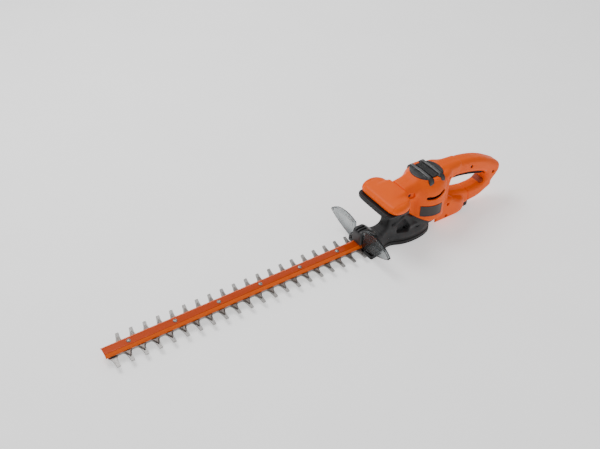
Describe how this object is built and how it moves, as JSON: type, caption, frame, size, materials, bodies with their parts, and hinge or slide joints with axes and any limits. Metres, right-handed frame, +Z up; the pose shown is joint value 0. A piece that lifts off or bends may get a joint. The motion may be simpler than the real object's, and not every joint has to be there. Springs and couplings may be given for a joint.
{
  "type": "hedge trimmer",
  "caption": "Corded hedge trimmer with a long double-sided reciprocating blade under a support bar, hand guard, T-shaped front handle and rear loop handle.",
  "frame": {"origin": "on the underside of the base plate, on the axis of the vertical motor", "axes": "+X from the blade tip to the rear handle, +Z up away from the base plate, +Y to the right hand of a user behind the rear handle; the shells split at y = 0"},
  "size_m": [0.8366, 0.1766, 0.1332],
  "materials": {
    "orange_plastic": "fine moulded texture, satin",
    "dark_plastic": "fine moulded texture, matte",
    "black_plastic": "matte",
    "plate_plastic": "blank plate, satin",
    "brown_plastic": "satin",
    "clear_plastic": "clear smoked, glossy",
    "painted_bar": "metallic orange paint",
    "comb_steel": "ground",
    "cutter_steel": "ground, darkened",
    "screw_steel": "zinc plated",
    "machined_steel": "turned and ground",
    "laminated_steel": "stacked sheet",
    "copper_wire": "lacquered copper",
    "bronze": "sintered",
    "carbon": "pressed carbon",
    "felt": "oiled felt",
    "fan_plastic": "moulded",
    "capacitor_film": "glossy"
  },
  "bodies": {
    "housing": {"housing_left": "orange_plastic", "housing_right": "orange_plastic", "front_handle_shell": "orange_plastic", "front_handle_base": "dark_plastic", "gear_housing": "dark_plastic", "base_plate": "black_plastic", "hand_guard": "clear_plastic", "guard_bracket": "dark_plastic", "vent_cap": "black_plastic", "side_plates": "plate_plastic", "cord_retainer": "brown_plastic", "blade_support_bar": "painted_bar", "blade_screws": "screw_steel", "blade_spacers": "screw_steel", "blade_nuts": "screw_steel", "felt_wiper": "felt", "stator_core": "laminated_steel", "field_windings": "copper_wire", "brush_carrier": "black_plastic", "carbon_brushes": "carbon", "brush_springs": "screw_steel", "upper_bearing": "machined_steel", "lower_bearing": "machined_steel", "gear_bushes": "bronze", "rear_switch": "black_plastic", "front_switch": "black_plastic", "trigger_pin": "screw_steel", "trigger_spring": "screw_steel", "switch_bar_springs": "screw_steel", "power_inlet": "black_plastic", "inlet_pins": "bronze", "capacitor": "capacitor_film", "wiring_leads": "black_plastic", "housing_screws": "screw_steel", "base_screws": "screw_steel", "bracket_screws": "screw_steel", "front_handle_screws": "screw_steel"},
    "armature": {"armature_core": "laminated_steel", "armature_windings": "copper_wire", "armature_shaft": "machined_steel", "commutator": "copper_wire", "cooling_fan": "fan_plastic", "drive_pinion": "machined_steel"},
    "gear": {"drive_gear": "machined_steel", "gear_shaft": "machined_steel", "upper_eccentric": "bronze", "lower_eccentric": "bronze"},
    "upper_blade": {"upper_blade": "cutter_steel"},
    "lower_blade": {"lower_blade": "comb_steel"},
    "trigger": {"trigger": "dark_plastic"},
    "front_switch_bar": {"front_switch_bar": "dark_plastic"}
  },
  "joints": [
    {"name": "armature_spin", "type": "hinge", "parent": "housing", "child": "armature", "pos_m": [0, 0, 0.07], "axis": [0, 0, 1], "continuous": true},
    {"name": "gear_spin", "type": "hinge", "parent": "housing", "child": "gear", "pos_m": [-0.03, 0, 0.02], "axis": [0, 0, 1], "continuous": true},
    {"name": "upper_blade_slide", "type": "slide", "parent": "housing", "child": "upper_blade", "axis": [1, 0, 0], "range_m": [-0.006, 0.006]},
    {"name": "lower_blade_slide", "type": "slide", "parent": "housing", "child": "lower_blade", "axis": [1, 0, 0], "range_m": [-0.006, 0.006]},
    {"name": "trigger_pull", "type": "hinge", "parent": "housing", "child": "trigger", "pos_m": [0.149, 0, 0.0805], "axis": [0, 1, 0], "range_deg": [0, 3.2], "stiffness_Nm_per_rad": 6, "springref_deg": -1.15, "deforming": ["trigger_spring"]},
    {"name": "front_switch_press", "type": "slide", "parent": "housing", "child": "front_switch_bar", "axis": [1, 0, 0], "range_m": [0, 0.003], "stiffness_N_per_m": 1500, "springref_m": -0.002, "deforming": ["switch_bar_springs"]}
  ],
  "couplings": [
    {"joint": "gear_spin", "follows": "armature_spin", "ratio": -0.21212},
    {"joint": "lower_blade_slide", "follows": "upper_blade_slide", "ratio": -1}
  ]
}
